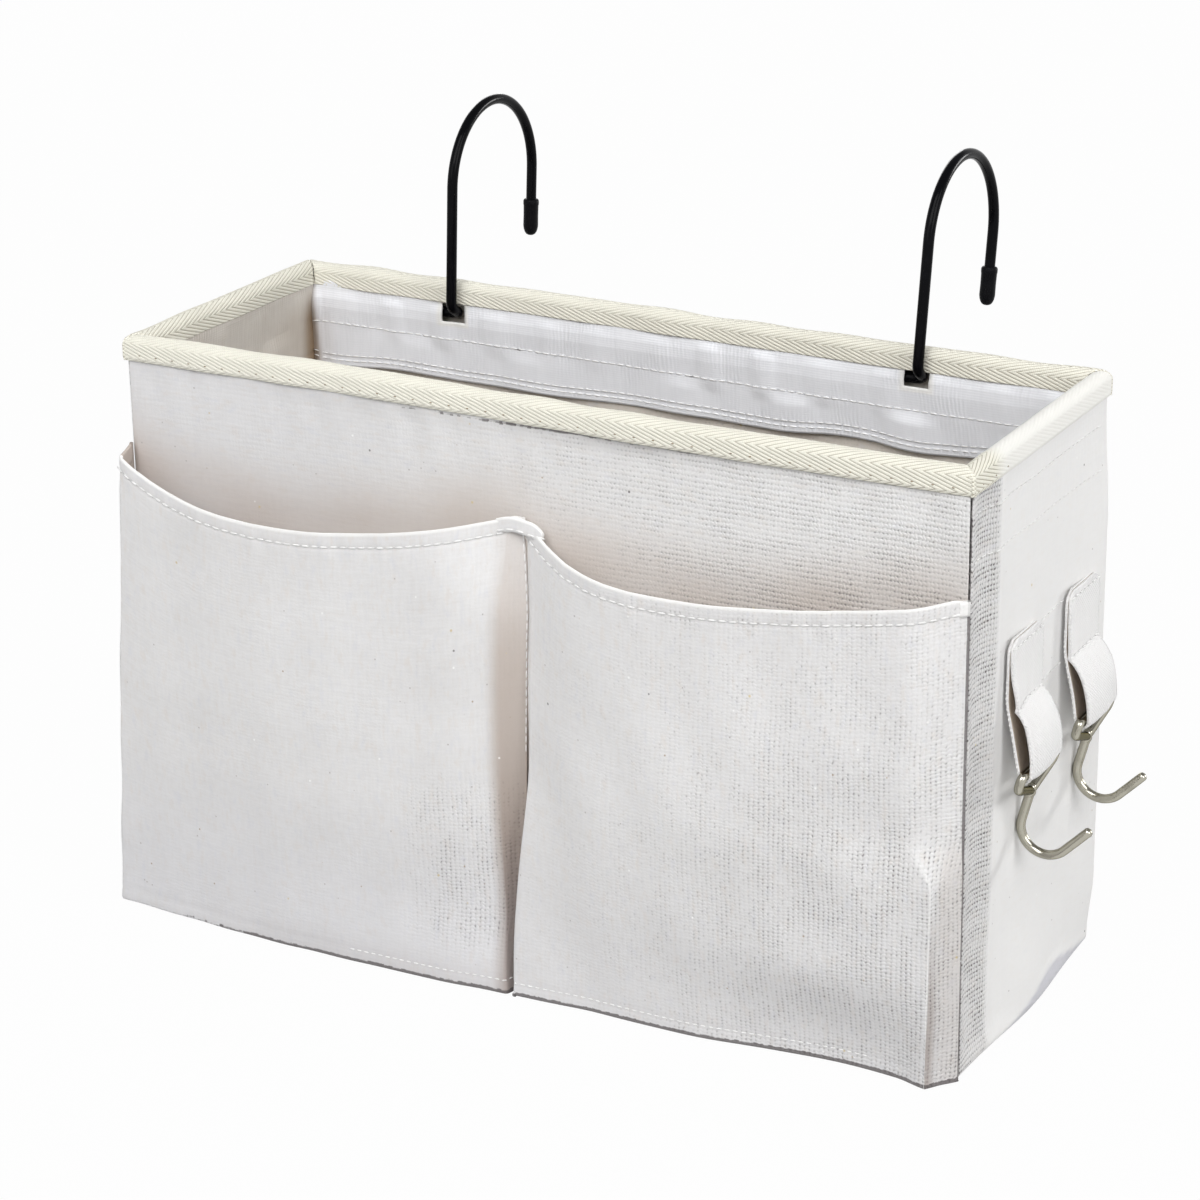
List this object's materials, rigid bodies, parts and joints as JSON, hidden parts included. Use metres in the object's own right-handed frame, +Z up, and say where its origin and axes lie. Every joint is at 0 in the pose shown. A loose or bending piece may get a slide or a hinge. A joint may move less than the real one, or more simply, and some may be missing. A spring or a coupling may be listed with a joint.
{
  "type": "bedside caddy",
  "caption": "Cloth box that hangs on a bed rail by hinged wire hooks, with front pockets, a net pocket on one end and swinging wire hooks in strap loops on the other.",
  "frame": {"origin": "middle of the base's underside", "axes": "+X along the length towards the end with the side hooks, +Y towards the bed rail, +Z up; the front pockets face -Y"},
  "size_m": [0.3345, 0.1762, 0.261],
  "materials": {
    "linen": "plain-woven off-white linen-look cloth with slubs and specks",
    "binding": "cream herringbone twill tape",
    "lining": "coated, slightly glossy bluish white cloth",
    "netting": "white knitted net",
    "board": "grey-brown stiffening board",
    "steel": "plain steel wire",
    "nickel": "nickel-plated steel wire",
    "black_coat": "glossy black dipped coating on steel wire",
    "rubber": "satin black rubber"
  },
  "bodies": {
    "box": {"front_panel": "linen", "back_panel": "linen", "left_end_panel": "linen", "right_end_panel": "linen", "base_panel": "linen", "base_board": "board", "rim_wire": "steel", "rim_binding_front": "binding", "rim_binding_right": "binding", "rim_binding_back": "binding", "rim_binding_left": "binding", "back_facing": "lining", "left_end_facing": "lining", "right_end_facing": "lining", "left_pocket": "linen", "right_pocket": "linen", "net_gusset": "linen", "net": "netting", "net_binding": "binding", "strap_front": "linen", "strap_rear": "linen"},
    "rail_hook_left": {"rail_hook_left": "black_coat", "rail_hook_cap_left": "rubber"},
    "rail_hook_right": {"rail_hook_right": "black_coat", "rail_hook_cap_right": "rubber"},
    "side_hook_front": {"side_hook_front": "nickel"},
    "side_hook_rear": {"side_hook_rear": "nickel"}
  },
  "joints": [
    {"name": "rail_hook_left_fold", "type": "hinge", "parent": "box", "child": "rail_hook_left", "pos_m": [-0.0855, 0.0519, 0.189], "axis": [1, 0, 0], "range_deg": [0, 45]},
    {"name": "rail_hook_right_fold", "type": "hinge", "parent": "box", "child": "rail_hook_right", "pos_m": [0.0885, 0.0519, 0.189], "axis": [1, 0, 0], "range_deg": [0, 45]},
    {"name": "side_hook_front_swing", "type": "hinge", "parent": "box", "child": "side_hook_front", "pos_m": [0.1572, -0.013, 0.093], "axis": [0, -1, 0], "range_deg": [0, 105]},
    {"name": "side_hook_rear_swing", "type": "hinge", "parent": "box", "child": "side_hook_rear", "pos_m": [0.1572, 0.035, 0.093], "axis": [0, -1, 0], "range_deg": [0, 105]}
  ]
}
